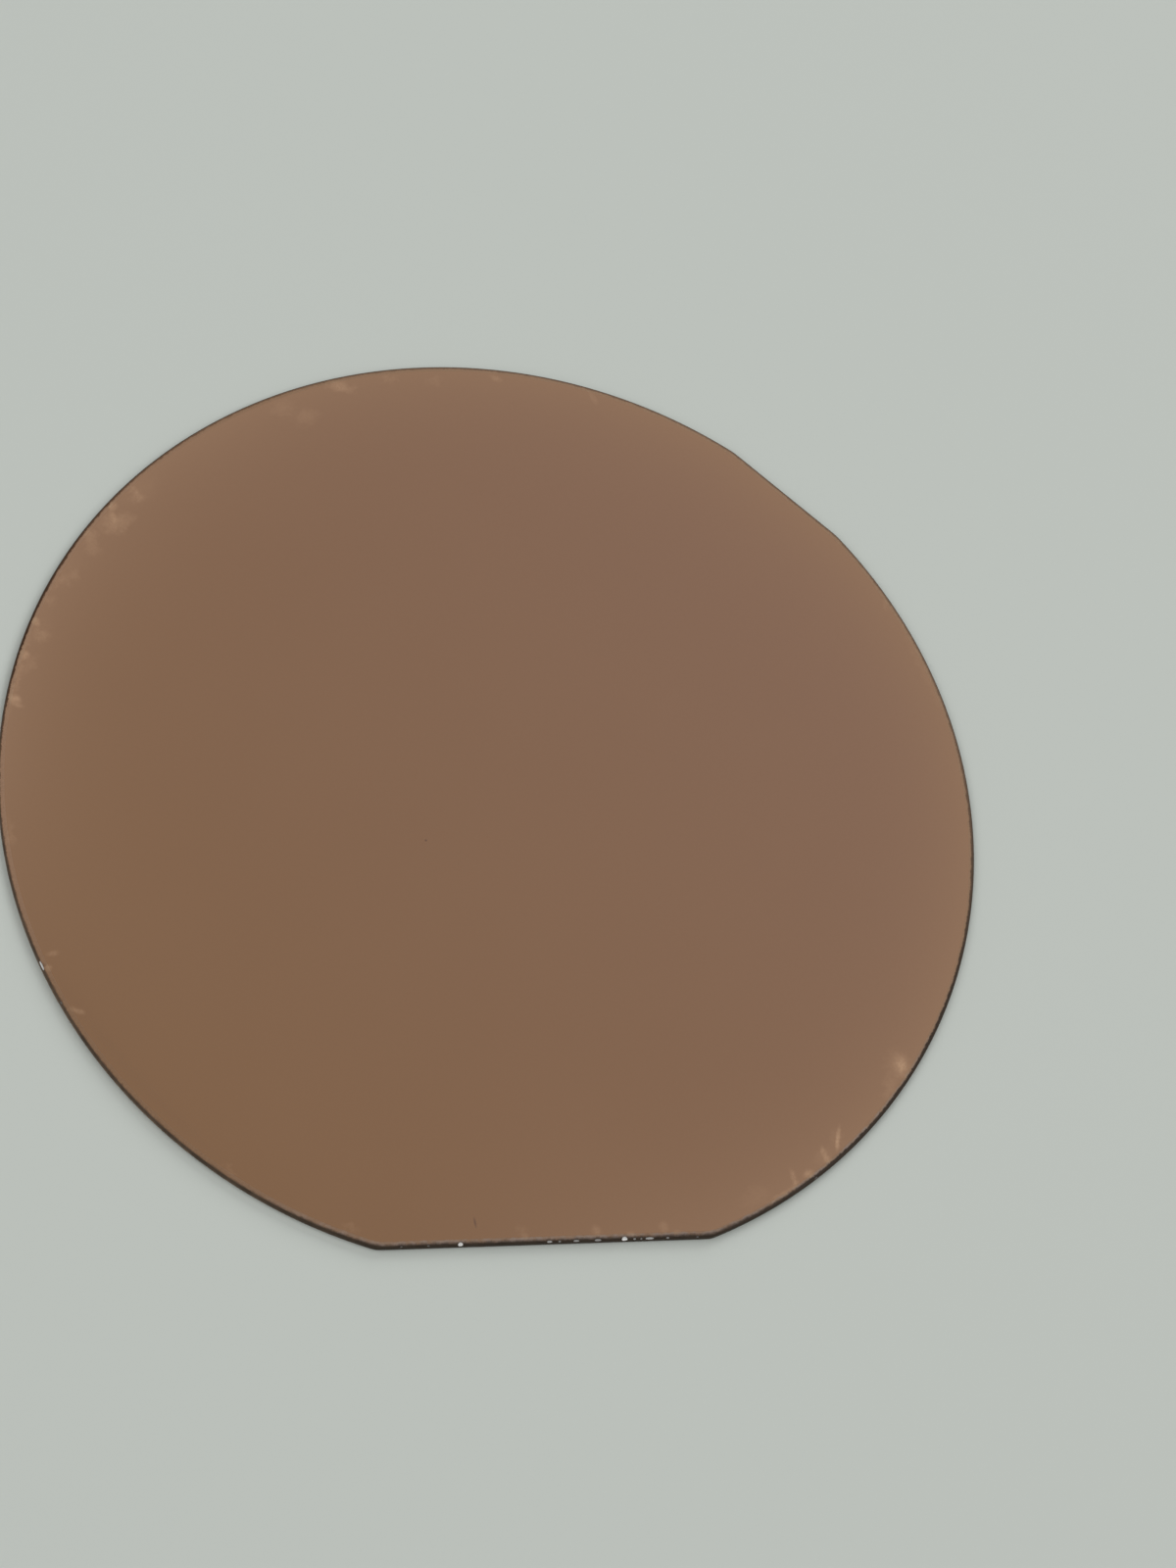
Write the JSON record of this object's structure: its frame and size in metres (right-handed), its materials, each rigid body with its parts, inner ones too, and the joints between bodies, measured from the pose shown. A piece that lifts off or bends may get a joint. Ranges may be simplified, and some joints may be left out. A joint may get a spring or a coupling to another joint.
{
  "type": "gallium phosphide wafer",
  "caption": "Thin round crystal wafer with a long and a short orientation flat, a bevelled rim and edge flake scars; a substrate for growing and making light-emitting devices.",
  "frame": {"origin": "centre of the round rim's circle on the back face", "axes": "+Z out of the polished front face, -Y out of the primary flat, +X to the right as seen from the front with the primary flat towards the viewer; the secondary flat faces between +X and +Y"},
  "size_m": [0.0508, 0.0493, 0.0005],
  "materials": {
    "crystal": "polished"
  },
  "bodies": {
    "root": {"wafer": "crystal"}
  },
  "joints": []
}
